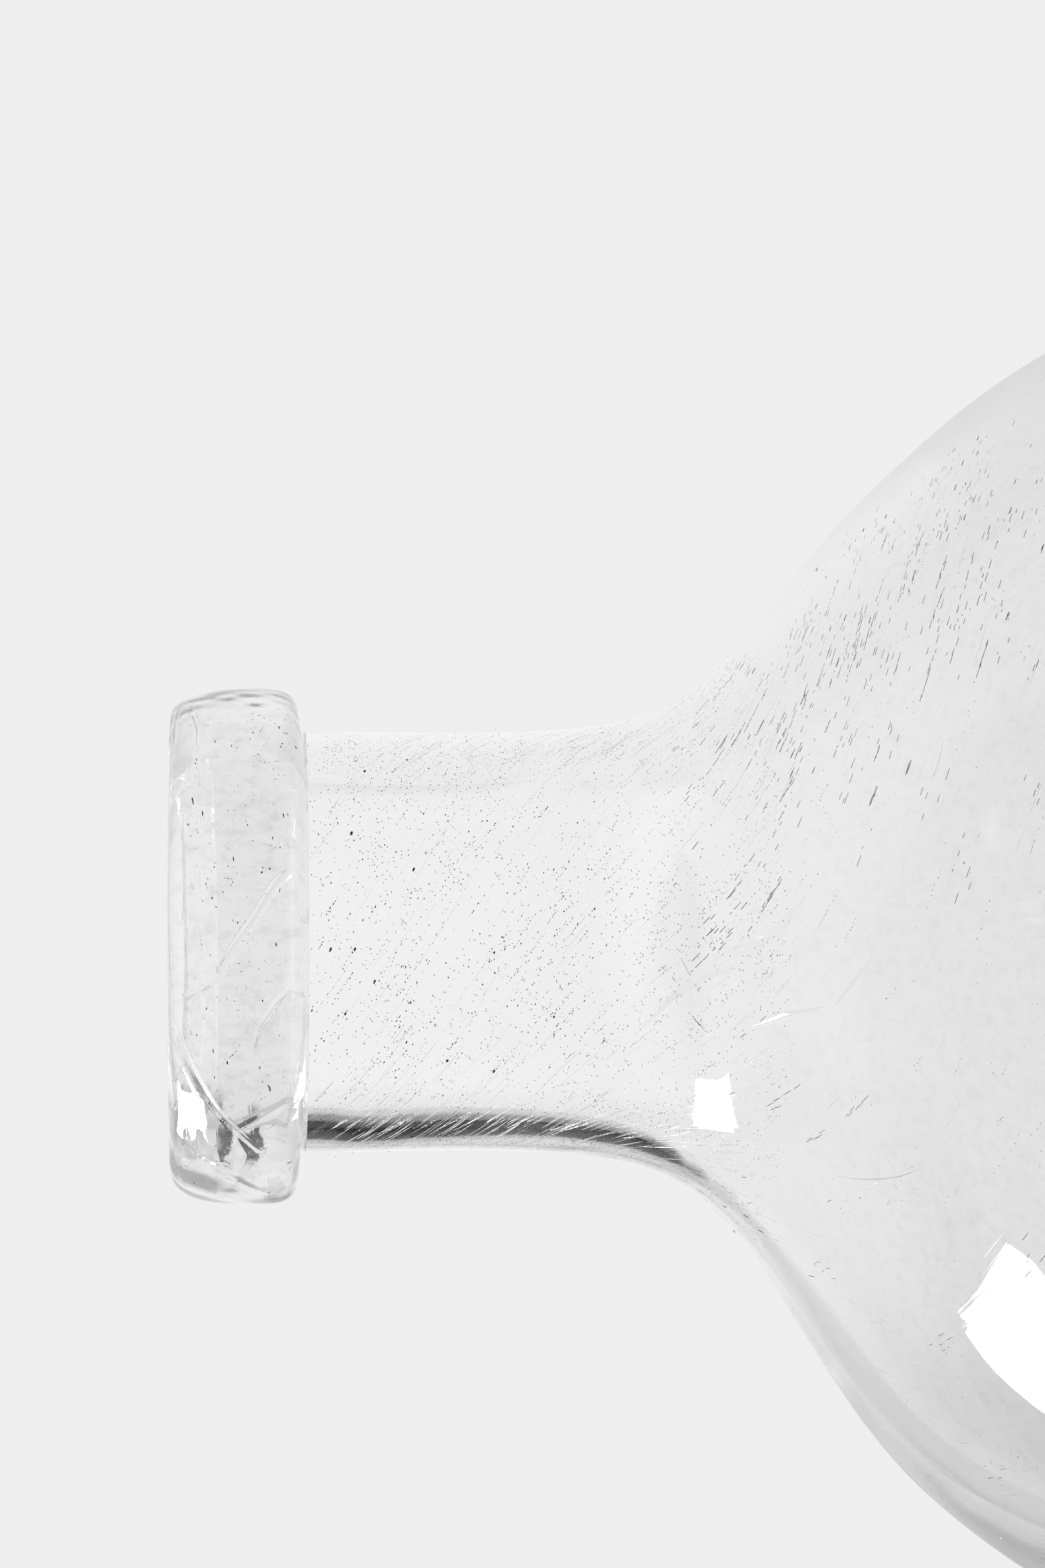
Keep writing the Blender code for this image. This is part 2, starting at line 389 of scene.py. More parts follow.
def outside_line():
    """(radius, height) from the neck's cut end down to the standing ring, finer towards the neck."""
    equator = np.array((GLOBE_R, GLOBE_Z))
    angles = np.linspace(SHOULDER_ANGLE, 0, 200)
    globe = np.column_stack((GLOBE_R * np.cos(angles), GLOBE_Z + GLOBE_R * np.sin(angles)))
    uphill = np.array((-sin(SHOULDER_ANGLE), cos(SHOULDER_ANGLE)))
    bend = (LIP_UNDER_Z - NECK_FOOT_Z) / 3
    neck = cubic(
        (NECK_TOP_R, LIP_UNDER_Z),
        (NECK_TOP_R, LIP_UNDER_Z - bend),
        (NECK_R, NECK_FOOT_Z + bend),
        (NECK_R, NECK_FOOT_Z),
    )
    shoulder = cubic(
        (NECK_R, NECK_FOOT_Z),
        (NECK_R, NECK_FOOT_Z - SHOULDER_NECK_HANDLE),
        globe[0] + uphill * SHOULDER_GLOBE_HANDLE,
        globe[0],
    )
    belly = cubic(
        equator, equator - (0, BELLY_HANDLE), (STAND_R + HEEL_HANDLE, 0), (STAND_R, 0)
    )
    return chain(
        straight((NECK_TOP_R, NECK_END_Z), (NECK_TOP_R, LIP_UNDER_Z), 0.9 * MM),
        resample(neck, 0.75 * MM),
        resample(shoulder, 1.0 * MM),
        resample(globe, 1.9 * MM),
        resample(belly, 2.3 * MM),
    )


def normals_of(line):
    """Unit vectors across a line, to the left of the way it runs."""
    along = np.gradient(line, axis=0)
    along /= np.linalg.norm(along, axis=1)[:, None]
    return np.column_stack((-along[:, 1], along[:, 0]))


class VesselWall:
    """The blown wall's outside by distance s down from the neck's end, its thickness, and its twist."""

    def __init__(self):
        self.line = outside_line()
        self.s = lengths_along(self.line)
        self.out = normals_of(self.line)
        self.out *= np.sign(self.out[0, 0])
        self.width = np.interp(self.line[:, 1], WALL_HEIGHTS, WALL_WIDTHS)
        self.lean = self.streak_lean(self.line[:, 1])
        rate = np.tan(self.lean) / self.line[:, 0]
        steps = np.diff(self.s) * (rate[1:] + rate[:-1]) / 2
        self.twist = np.concatenate(([0], np.cumsum(steps)))

    @staticmethod
    def streak_lean(z):
        """How far streaks lean from straight down, by height."""
        lean = np.full(z.shape, NECK_LEAN)
        for high, low, degrees in LEAN_CHANGES:
            lean += radians(degrees) * smooth(-z, -high * MM, -low * MM)
        return lean

    def at(self, values, s):
        """What an array of values along the wall is at s."""
        return np.interp(s, self.s, values)

    def point(self, theta, s, depth):
        """A point that far under the outside. depth is a share of the wall."""
        r = self.at(self.line[:, 0], s) - self.at(self.out[:, 0] * self.width, s) * depth
        z = self.at(self.line[:, 1], s) - self.at(self.out[:, 1] * self.width, s) * depth
        return np.column_stack((r * np.cos(theta) + set_over(z), r * np.sin(theta), z))


def vessel_rows(wall):
    """The closed section's rows: (radius, height), s, and whether each is inside the bottle.

    It runs from the axis under the punt, up the outside, over the neck's end, down the inside and back.
    """
    r_under = np.linspace(0, STAND_INNER_R, 26)
    under = np.column_stack((r_under, punt_z(r_under)))
    stand = straight((STAND_INNER_R, 0), (STAND_R, 0), 2 * MM)
    outside = wall.line[::-1]
    inner_line = wall.line - wall.out * wall.width[:, None]
    inner_line[0, 1] = NECK_END_Z
    above_heel = inner_line[:, 1] > WALL_HEIGHTS[0]
    kept = np.arange(above_heel.sum()) % 4 != 3
    inside = inner_line[above_heel][kept]
    inside_s = wall.s[above_heel][kept]
    down = (inside[-1] - inside[-2]) / np.linalg.norm(inside[-1] - inside[-2])
    floor_z = punt_z(INNER_HEEL_R) + BASE_WALL
    heel = resample(
        cubic(
            inside[-1],
            inside[-1] + down * INNER_WALL_HANDLE,
            (INNER_HEEL_R + INNER_HEEL_HANDLE, floor_z),
            (INNER_HEEL_R, floor_z),
        ),
        2.4 * MM,
    )
    r_floor = np.linspace(INNER_HEEL_R, 0, 20)
    floor = np.column_stack((r_floor, punt_z(r_floor) + BASE_WALL))
    end_ring = straight(outside[-1], inside[0], 0.5 * MM)
    line = chain(under, stand, outside, end_ring, inside, heel, floor)
    s = np.concatenate(
        (
            np.full(len(under) + len(stand) - 2, wall.s[-1]),
            wall.s[::-1],
            np.zeros(len(end_ring) - 1),
            inside_s[1:],
            np.full(len(heel) + len(floor) - 2, inside_s[-1]),
        )
    )
    inner = np.zeros(len(line), bool)
    inner[len(under) + len(stand) + len(outside) + len(end_ring) - 4 :] = True
    return line, s, inner


def linked(name, data):
    """An object in the scene."""
    thing = bpy.data.objects.new(name, data)
    bpy.context.scene.collection.objects.link(thing)
    return thing


def finished_mesh(name, mesh):
    """Drops unused points, faces the surface out of the glass and smooths it."""
    shape = bmesh.new()
    shape.from_mesh(mesh)
    loose = [v for v in shape.verts if not v.link_faces]
    bmesh.ops.delete(shape, geom=loose, context="VERTS")
    if shape.calc_volume(signed=True) < 0:
        bmesh.ops.reverse_faces(shape, faces=shape.faces)
    shape.to_mesh(mesh)
    shape.free()
    mesh.shade_smooth()
    mesh.set_sharp_from_angle(angle=radians(50))
    return linked(name, mesh)


def turned(name, x, y, z, streaks, closed_ring=False):
    """A solid from rings of points. Unless it is a closed ring, its first and last rings are on the axis."""
    rows, segments = x.shape
    points = np.column_stack((x.ravel(), y.ravel(), z.ravel()))
    index = np.arange(rows * segments).reshape(rows, segments)
    after = np.roll(index, -1, axis=1)
    faces = []
    if closed_ring:
        below, above = index, np.roll(index, -1, axis=0)
        below_after, above_after = after, np.roll(after, -1, axis=0)
    else:
        first, last = index[0, 0], index[-1, 0]
        faces += [(first, b, a) for a, b in zip(index[1], after[1])]
        faces += [(last, a, b) for a, b in zip(index[-2], after[-2])]
        below, above = index[1:-2], index[2:-1]
        below_after, above_after = after[1:-2], after[2:-1]
    quads = np.stack((below, below_after, above_after, above), axis=-1).reshape(-1, 4)
    faces += quads.tolist()
    mesh = bpy.data.meshes.new(name)
    mesh.from_pydata(points.tolist(), [], faces)
    layer = mesh.attributes.new("streak_space", "FLOAT_VECTOR", "POINT")
    layer.data.foreach_set("vector", np.ascontiguousarray(streaks, dtype=np.float32).ravel())
    return finished_mesh(name, mesh)


def streak_space(theta, s, twist, radius):
    """Coordinates in which the glass's streaks run straight along Z."""
    unwound, along = np.broadcast_arrays(theta - twist, s)
    return np.stack(
        (radius * np.cos(unwound), radius * np.sin(unwound), along), axis=-1
    ).reshape(-1, 3)


def make_vessel(wall):
    """The blown bubble, uneven all over and ringed by the tool under its lip."""
    line, s, inner = vessel_rows(wall)
    theta = angles_round(VESSEL_SEGMENTS, VESSEL_CROWDING)
    s = s[:, None]
    twist = wall.at(wall.twist, s)
    across = normals_of(line)
    off_base = 1 - smooth(s, wall.s[-1] - 40 * MM, wall.s[-1] - 12 * MM)
    off_lip = smooth(s, 12 * MM, 18 * MM)
    under_lip = smooth(s, 0, 2 * MM) * (1 - smooth(s, 8 * MM, 11 * MM))
    outer = ripple(1, count=14, around=(1, 4), along=(-70, 70), theta=theta, s=s)
    inner_waves = ripple(2, count=18, around=(1, 6), along=(-160, 160), theta=theta, s=s)
    drawn = ripple(4, count=30, around=(8, 22), along=(-60, 60), theta=theta - twist, s=s)
    rings = ripple(5, count=24, around=(0, 3), along=(700, 1500), theta=theta, s=s)
    grown = off_base * np.where(
        inner[:, None],
        (INNER_WAVES * inner_waves + DRAWN_WAVES * drawn) * off_lip + TOOL_RINGS * rings * under_lip,
        OUTER_WAVES * outer * off_lip,
    )
    r = line[:, 0:1] + across[:, 0:1] * grown
    z = line[:, 1:2] + across[:, 1:2] * grown
    r[0], r[-1] = 0, 0
    x = r * np.cos(theta) + set_over(z)
    z = z + end_tilt(x, z)
    streaks = streak_space(theta, s, twist, NECK_R)
    return turned("blown_vessel_glass", x, r * np.sin(theta), z, streaks)


def lip_curve(curve):
    """Points of one of the lip's curves."""
    return cubic(*((LIP_R - inside * MM, MOUTH_Z - below * MM) for inside, below in curve))


def lip_line():
    """The lip's closed section: up the neck's side, over its end and the groove, the bore, rim and side."""
    sleeve_r = NECK_TOP_R - FUSED
    end_z = NECK_END_Z - FUSED
    groove_r = LIP_BORE_R + GROOVE_DEPTH
    groove_z = NECK_END_Z + GROOVE_HEIGHT
    groove_side_z = groove_z - GROOVE_ROUNDING
    bore_foot_z = groove_z + GROOVE_ROOF_RISE
    groove_roof = cubic(
        (groove_r, groove_side_z),
        (groove_r, groove_z + GROOVE_ROUNDING),
        (LIP_BORE_R, groove_z),
        (LIP_BORE_R, bore_foot_z),
    )
    mouth, rim, side, under = map(
        lip_curve, (LIP_MOUTH_CURVE, LIP_RIM_CURVE, LIP_SIDE_CURVE, LIP_UNDER_CURVE)
    )
    foot = cubic(
        under[-1],
        under[-1] + LIP_FOOT_HANDLE,
        (sleeve_r + 0.06 * MM, LIP_UNDER_Z + 1.3 * MM),
        (sleeve_r, LIP_UNDER_Z),
    )
    fine = 0.24 * MM
    line = chain(
        straight((sleeve_r, LIP_UNDER_Z), (sleeve_r, end_z), 1.0 * MM),
        straight((sleeve_r, end_z), (groove_r, end_z), 0.5 * MM),
        straight((groove_r, end_z), (groove_r, groove_side_z), 0.3 * MM),
        resample(groove_roof, 0.07 * MM),
        straight((LIP_BORE_R, bore_foot_z), mouth[0], 0.4 * MM),
        resample(mouth, 0.35 * MM),
        straight(mouth[-1], rim[0], 0.4 * MM),
        resample(rim, fine),
        resample(side, fine),
        resample(under, fine),
        resample(foot, 0.3 * MM),
    )
    return line[:-1]


def lip_folds(theta, z):
    """How far the lip's side stands proud where the hot trail was lapped, folded and tooled."""
    round_side = LIP_R * theta
    height = z - LIP_UNDER_Z
    proud = np.zeros(z.shape)
    for rise, width, edge, places in LIP_MARKS:
        line = [(LIP_R * radians(degrees), millimetres * MM) for degrees, millimetres in places]
        distance, share = nearest_on(line, round_side, height)
        half_width, half_edge = width / 2 * MM, edge / 2 * MM
        plateau = 1 - smooth(distance, half_width - half_edge, half_width + half_edge)
        proud += rise * MM * plateau * np.sin(pi * share.clip(0.04, 0.96)) ** 0.4
    # The jacks left a flat, high on the softbox's side.
    flat = hump(theta, JACKS_FLAT_WAY, JACKS_FLAT_HALF_ANGLE) * hump(z, MOUTH_Z - 2.2 * MM, 2.6 * MM)
    return proud - JACKS_FLAT_DEPTH * flat


def make_lip():
    """The ring of glass wound over the neck's end, with its waves, lumps, crumples and marks."""
    line = lip_line()
    s = lengths_along(line)[:, None]
    theta = angles_round(LIP_SEGMENTS, LIP_CROWDING)
    r, z = line[:, 0:1], line[:, 1:2] + np.zeros_like(theta)
    outer_share = smooth(r, NECK_TOP_R, LIP_R)
    across = normals_of(line)
    across *= np.sign(across[len(line) * 3 // 4, 0])
    worked = smooth(r, NECK_TOP_R + 0.3 * MM, NECK_TOP_R + 2.5 * MM)
    waves = ripple(11, count=16, around=(1, 5), along=(-200, 200), theta=theta, s=s)
    lumps = ripple(12, count=30, around=(6, 22), along=(-600, 600), theta=theta, s=s)
    crumples = ripple(13, count=50, around=(20, 64), along=(-1500, 1500), theta=theta, s=s)
    lumpy = LIP_LUMPS + LIP_LUMPS_ONE_SIDE * hump(np.cos(theta - LUMPY_WAY), 1, 0.18)
    crumpled = LIP_CRUMPLES + LIP_CRUMPLES_ONE_SIDE * hump(np.cos(theta - CRUMPLED_WAY), 1, 0.12)
    around = (theta + pi) % (2 * pi) - pi + np.zeros_like(z)
    grown = lumpy * lumps + crumpled * crumples - LIP_WAVES * np.abs(waves) + lip_folds(around, z)
    grown *= worked
    r = r + across[:, 0:1] * grown
    z = z + across[:, 1:2] * grown
    towards_minus_y = (1 - np.sin(theta)) / 2
    z = z - LIP_SAG * towards_minus_y * hump(z, LIP_UNDER_Z, 3 * MM) * worked
    x = r * np.cos(theta) + NECK_SET_OVER - LIP_OFF_CENTRE * outer_share
    z = z + end_tilt(x, z) * (1 - worked)
    # The lip's streaks run round it, as its glass was wound on. Their seam is at the back.
    turn = (theta + 1.5 * pi) % (2 * pi)
    across_streaks, around_lip = np.broadcast_arrays(s + 2.5 * MM * turn, LIP_R * turn)
    streaks = np.stack((across_streaks, r * 0.5, around_lip), axis=-1).reshape(-1, 3)
    return turned("applied_lip_glass", x, r * np.sin(theta), z, streaks, closed_ring=True)


def make_pontil():
    """Broken glass under the punt: the CAD scar's disc with a torn, ground face."""
    r_under = np.linspace(0, PONTIL_R, 30)
    r_over = np.linspace(PONTIL_R, 0, 16)
    over = np.column_stack((r_over, punt_z(r_over) - FUSED))
    under = np.column_stack((r_under, punt_z(r_under) - PONTIL_DEPTH * (1 - (r_under / PONTIL_R) ** 6)))
    line = np.vstack((under, over))
    theta = np.linspace(0, 2 * pi, PONTIL_SEGMENTS, endpoint=False)[None, :]
    face = np.concatenate((np.ones(len(under)), np.zeros(len(over))))[:, None]
    face = face * (1 - smooth(line[:, 0:1], 0.9 * PONTIL_R, PONTIL_R))
    torn = ripple(21, count=30, around=(1, 14), along=(-1500, 1500), theta=theta, s=line[:, 0:1])
    r = line[:, 0:1] + np.zeros_like(theta)
    r[0], r[-1] = 0, 0
    z = line[:, 1:2] + face * PONTIL_TORN * torn
    z[0], z[-1] = z[0].mean(), z[-1].mean()
    streaks = streak_space(theta, line[:, 0:1], 0, PONTIL_R)
    return turned("pontil_scar_glass", r * np.cos(theta), r * np.sin(theta), z, streaks)


class Threads:
    """Closed threads of glass, grit or air, gathered into one mesh."""

    def __init__(self):
        self.points, self.faces = [], []

    def add(self, path, out, half_width, rise, sink, sides=5):
        """A thread along a path: as wide as half_width says, and rise up and sink down from it."""
        along = np.gradient(path, axis=0)
        along /= np.linalg.norm(along, axis=1)[:, None]
        side = np.cross(along, out)
        side /= np.linalg.norm(side, axis=1)[:, None]
        up = np.cross(side, along)
        start = len(self.points)
        turn = np.linspace(0, 2 * pi, sides, endpoint=False)
        heights = np.where(np.sin(turn) > 0, rise, sink) * np.sin(turn)
        share = half_width / half_width.max()
        self.points.append(path[0] - along[0] * half_width[0])
        for p, a, b, w, f in zip(path, side, up, half_width, share):
            self.points.extend(p + w * np.cos(q) * a + f * h * b for q, h in zip(turn, heights))
        self.points.append(path[-1] + along[-1] * half_width[-1])
        rings = len(path)
        first_ring, last = start + 1, start + 1 + rings * sides
        for j in range(sides):
            k = (j + 1) % sides
            self.faces.append((start, first_ring + k, first_ring + j))
            for i in range(rings - 1):
                low = first_ring + i * sides
                self.faces.append((low + j, low + k, low + sides + k, low + sides + j))
            low = last - sides
            self.faces.append((low + j, low + k, last))

    def as_object(self, name, hollow=False):
        """The threads as one object. Hollow ones are air, so their surface faces away from the glass."""
        mesh = bpy.data.meshes.new(name)
        mesh.from_pydata([tuple(p) for p in self.points], [], self.faces)
        piece = finished_mesh(name, mesh)
        if hollow:
            piece.data.flip_normals()
        return piece


def tapered(steps, blunt):
    """Widths along a thread: 1 in its middle, and small at its ends."""
    return np.sin(np.linspace(0.06, 0.94, steps) * pi) ** blunt


def random_width(rng, least, excess, most):
    """Mostly near the least, and now and then much more."""
    return MM * min(least + rng.exponential(excess), most)


def scatter_in_wall(wall, rng, neck_share):
    """A random place in the wall as (angle, s, depth). neck_share of them are in the neck and its foot."""
    if rng.uniform() < neck_share:
        s = rng.uniform(UNDER_LIP_S, NECK_FOOT_S)
    else:
        area = np.cumsum(wall.line[:, 0] * np.gradient(wall.s))
        s = np.interp(rng.uniform() * area[-1], area, wall.s)
    return rng.uniform(0, 2 * pi), min(s, wall.s[-1] - 20 * MM), rng.uniform(0.15, 0.8)


def surface_path(wall, theta, s, depth):
    """Points that far under the outside, and the way out of the bottle at each."""
    path = wall.point(theta, s, depth)
    middle = np.column_stack((set_over(path[:, 2]), np.zeros(len(path)), path[:, 2]))
    return path, path - middle


def wall_path(wall, theta, s0, depth, length, steps, sway=0.0):
    """Points along a streak in the wall, and the way out of the bottle at each."""
    lean = wall.at(wall.lean, s0)
    t = np.linspace(-0.5, 0.5, steps)
    s = s0 + t * length * cos(lean)
    turn = theta + wall.at(wall.twist, s) - wall.at(wall.twist, s0) + sway * t * t
    return surface_path(wall, turn, s, depth)


def make_seeds(wall):
    """Seeds, and air lines drawn out along the twist, all through the blown wall."""
    rng = np.random.default_rng(7)
    threads = Threads()
    for _ in range(SEED_COUNT):
        theta, s0, depth = scatter_in_wall(wall, rng, SEED_NECK_SHARE)
        drawn = rng.uniform() < (SEED_DRAWN_SHARE_BEHIND if sin(theta) > 0 else SEED_DRAWN_SHARE)
        width = random_width(rng, *SEED_WIDTHS)
        length = width * rng.uniform(0.5, 5)
        if drawn:
            width *= 0.6
            length = MM * rng.uniform(1.0, 5.5)
        steps = 7 if drawn else 4
        path, out = wall_path(wall, theta, s0, depth, length, steps)
        threads.add(path, out, width * tapered(steps, 0.6), rise=0.8 * width, sink=0.8 * width)
    return threads.as_object("vessel_seeds", hollow=True)


def add_speck(threads, rng, place, way, loose, s0, trail):
    """A grain strewn about a place. If it has a trail, it is drawn out along that."""
    middle = place + rng.normal(0, loose, 3) - way * rng.uniform(0, 1) * MM
    width = random_width(rng, *SPECK_WIDTHS)
    if rng.uniform() < SPECK_LARGE_SHARE:
        width = MM * rng.uniform(*SPECK_LARGE_WIDTHS)
    reach = width * rng.uniform(0.3, 1.6) * np.cross(way, (0.4, 0, 1))
    if s0 > FINE_SPECKS_FROM_S:
        width = min(width, SPECK_FINE_WIDTH)
    if trail is not None:
        reach = MM * rng.uniform(0.1, 0.7) * trail / np.linalg.norm(trail)
    grain = np.array((middle - reach, middle + reach))
    threads.add(grain, np.array((way, way)), width * np.array((1, 0.8)), width, width, sides=4)


def make_specks(wall):
    """Grains of sand and ash that didn't melt in: mostly as fine as dust, and strewn along the twist."""
    rng = np.random.default_rng(19)
    threads = Threads()
    for _ in range(SPECK_TRAILS):
        theta, s0, _ = scatter_in_wall(wall, rng, SPECK_NECK_SHARE)
        if sin(theta) > 0 and rng.uniform() < SPECK_SHARE_MOVED_FORWARD:
            theta = -theta
        on_shoulder = rng.uniform() < SPECK_SHOULDER_SHARE
        if on_shoulder:
            theta, s0 = radians(rng.normal(-38, 13)), MM * rng.normal(90, 17)
        count = rng.integers(1, 8)
        length = MM * rng.uniform(1, 9)
        path, out = wall_path(wall, theta, s0, depth=0.3, length=length, steps=count + 1)
        loose = MM * rng.choice((0.05, 0.9))
        drawn = on_shoulder or (s0 > DRAWN_SPECKS_FROM_S and rng.uniform() < SPECK_DRAWN_SHARE)
        trail = path[-1] - path[0] if drawn else None
        for place, way in zip(path[:count], out[:count]):
            add_speck(threads, rng, place, way / np.linalg.norm(way), loose, s0, trail)
    return threads.as_object("vessel_specks")


def add_routed_cord(threads, wall, half_width, places):
    """A larger cord along a route of places, which barely stands proud."""
    marks = np.array(places, float)
    t = np.linspace(0, 1, len(marks))
    fine = np.linspace(0, 1, 40)
    angles = np.radians(np.interp(fine, t, marks[:, 0]))
    s = np.interp(fine, t, marks[:, 1]) * MM
    for line in (angles, s):
        line[1:-1] = np.convolve(line, (0.25, 0.5, 0.25), "valid")
    path, out = surface_path(wall, angles, s, depth=0.002)
    width = half_width * MM
    threads.add(path, out, width * tapered(40, 1.3), rise=0.06 * width, sink=0.02 * MM, sides=10)


def make_cords(wall):
    """Glassy threads drawn out along the twist, which stand a little proud of the outside."""
    rng = np.random.default_rng(31)
    threads = Threads()
    for _ in range(CORD_COUNT):
        theta, s0, _ = scatter_in_wall(wall, rng, CORD_NECK_SHARE)
        theta = -abs(theta - pi)
        width = MM * rng.uniform(*CORD_WIDTHS)
        length = MM * (rng.uniform(4, 16) if s0 < 45 * MM else rng.uniform(2, 7))
        if s0 < length / 2 + UNDER_LIP_S:
            continue
        sway = rng.normal(0, 0.05)
        path, out = wall_path(wall, theta, s0, depth=0.004, length=length, steps=16, sway=sway)
        threads.add(path, out, width * tapered(16, 0.8), rise=0.45 * width, sink=0.2 * width, sides=6)
    # Short combed threads, side by side down the neck's -X side.
    for _ in range(COMBED_COUNT):
        theta, s0 = radians(rng.uniform(-160, -134)), MM * rng.uniform(15, 64)
        width = MM * rng.uniform(*COMBED_WIDTHS)
        length = MM * rng.uniform(3, 9)
        path, out = wall_path(wall, theta, s0, depth=0.003, length=length, steps=12)
        threads.add(path, out, width * tapered(12, 0.8), rise=0.3 * width, sink=0.2 * width, sides=6)
    for half_width, places in CORD_ROUTES:
        add_routed_cord(threads, wall, half_width, places)
    return threads.as_object("vessel_cords")


def make_lip_seeds():
    """Seeds in the lip, the largest half a millimetre across, and finer grains."""
    rng = np.random.default_rng(43)
    seeds, specks = Threads(), Threads()
    for i in range(LIP_SEED_COUNT):
        theta = rng.uniform(0, 2 * pi)
        r = rng.uniform(NECK_TOP_R + 1.2 * MM, LIP_R - 1.6 * MM)
        z = rng.uniform(LIP_UNDER_Z + 3 * MM, MOUTH_Z - 2.5 * MM)
        way = np.array((cos(theta), sin(theta), 0))
        round_lip = np.array((-sin(theta), cos(theta), 0.1))
        middle = r * way + np.array((NECK_SET_OVER, 0, z))
        width = random_width(rng, *LIP_SEED_WIDTHS)
        reach = round_lip * width * rng.uniform(0.2, 2.5)
        path = np.array((middle - reach, middle, middle + reach))
        is_seed = i % (1 + LIP_SPECKS_PER_SEED) == 0
        threads, size = (seeds, width) if is_seed else (specks, 0.6 * width)
        threads.add(path, np.array((way,) * 3), size * np.array((0.7, 1, 0.7)), size, size, sides=6)
    return seeds.as_object("lip_seeds", hollow=True), specks.as_object("lip_specks")


class NodeMath:
    """Sums, products and smooth steps in a node tree."""

    def __init__(self, tree):
        self.nodes, self.links = tree.nodes, tree.links

    def calculate(self, operation, *values):
        """A Math node's result. The values are numbers or other nodes' outputs."""
        node = self.nodes.new("ShaderNodeMath")
        node.operation = operation
        for socket, value in zip(node.inputs, values):
            if isinstance(value, (int, float)):
                socket.default_value = value
            else:
                self.links.new(value, socket)
        return node.outputs[0]

    def times(self, *values):
        product = values[0]
        for value in values[1:]:
            product = self.calculate("MULTIPLY", product, value)
        return product

    def plus(self, a, b):
        return self.calculate("ADD", a, b)

    def between(self, low, high, share):
        """low where share is 0, high where it is 1."""
        return self.plus(self.times(share, high - low), low)

    def rise(self, value, start, end):
        """0 below start, 1 above end."""
        node = self.nodes.new("ShaderNodeMapRange")
        node.interpolation_type = "SMOOTHSTEP"
        self.links.new(value, node.inputs["Value"])
        node.inputs["From Min"].default_value = start
        node.inputs["From Max"].default_value = end
        return node.outputs["Result"]

    def fall(self, value, start, end, depth=1.0):
        """1 below start, 1 - depth above end."""
        return self.calculate("SUBTRACT", 1.0, self.times(self.rise(value, start, end), depth))

    def split(self, coordinates):
        """The three parts of one of the texture coordinates."""
        place = self.nodes.new("ShaderNodeTexCoord")
        node = self.nodes.new("ShaderNodeSeparateXYZ")
        self.links.new(place.outputs[coordinates], node.inputs[0])
        return node.outputs

    def noise(self, place, scale, detail):
        """A noise texture's value."""
        node = self.nodes.new("ShaderNodeTexNoise")
        node.inputs["Scale"].default_value = scale
        node.inputs["Detail"].default_value = detail
        self.links.new(place, node.inputs["Vector"])
        return node.outputs["Fac"]

    def bump(self, height, distance):
        """A Bump node."""
        node = self.nodes.new("ShaderNodeBump")
        node.inputs["Strength"].default_value = 1
        node.inputs["Distance"].default_value = distance
        self.links.new(height, node.inputs["Height"])
        return node

    def fade_out(self, surface, share, output):
        """Gives the output a surface that is gone where share is 1."""
        clear = self.nodes.new("ShaderNodeBsdfTransparent")
        mix = self.nodes.new("ShaderNodeMixShader")
        self.links.new(share, mix.inputs[0])
        self.links.new(surface, mix.inputs[1])
        self.links.new(clear.outputs[0], mix.inputs[2])
        self.links.new(mix.outputs[0], output.inputs["Surface"])


def new_material(name):
    """A material, its Principled BSDF, and its tree's maths."""
    material = bpy.data.materials.new(name)
    material.use_nodes = True
    return material, material.node_tree.nodes["Principled BSDF"], NodeMath(material.node_tree)


def glass_material(
    name, tint, streak_width, streak_depth, patch_depth, roughness=0.0, haze=0.0, haze_from=None
):
    """Clear glass, faintly tinted, whose surface carries fine drawn streaks and soft unevenness."""
    material, shader, m = new_material(name)
    shader.inputs["Transmission Weight"].default_value = 1
    shader.inputs["IOR"].default_value = GLASS_IOR
    shader.inputs["Base Color"].default_value = (*tint, 1)
    shader.inputs["Roughness"].default_value = roughness

    place = m.nodes.new("ShaderNodeAttribute")
    place.attribute_name = "streak_space"
    if haze:
        add_haze(m, place.outputs["Vector"], shader, tint, haze, haze_from)
    squeezed = m.nodes.new("ShaderNodeVectorMath")
    squeezed.operation = "MULTIPLY"
    squeezed.inputs[1].default_value = (1, 1, STREAK_SQUEEZE)
    m.links.new(place.outputs["Vector"], squeezed.inputs[0])

    streaks = m.noise(squeezed.outputs["Vector"], 1 / streak_width, detail=2)
    streak_bump = m.bump(m.rise(streaks, *STREAK_CRESTS), streak_depth)
    patches = m.noise(place.outputs["Vector"], 1 / PATCH_WIDTH, detail=1)
    patch_bump = m.bump(patches, patch_depth)
    m.links.new(streak_bump.outputs["Normal"], patch_bump.inputs["Normal"])
    m.links.new(patch_bump.outputs["Normal"], shader.inputs["Normal"])
    return material


def add_haze(m, place, shader, tint, haze, haze_from):
    """Darkens the tint in small soft spots, which come in along the streaks between two places."""
    solid = m.nodes.new("ShaderNodeTexCoord")
    spots = m.noise(solid.outputs["Object"], 1 / HAZE_SPOT_WIDTH, detail=3)
    along = m.nodes.new("ShaderNodeSeparateXYZ")
    m.links.new(place, along.inputs[0])
    share = m.times(m.rise(spots, *HAZE_SPOTS), m.rise(along.outputs[2], *haze_from))
    # The Mix node's colours are its seventh and eighth inputs and its third output.
    mix = m.nodes.new("ShaderNodeMix")
    mix.data_type = "RGBA"
    m.links.new(share, mix.inputs["Factor"])
    mix.inputs[6].default_value = (*tint, 1)
    mix.inputs[7].default_value = (*(c - haze for c in tint), 1)
    m.links.new(mix.outputs[2], shader.inputs["Base Color"])


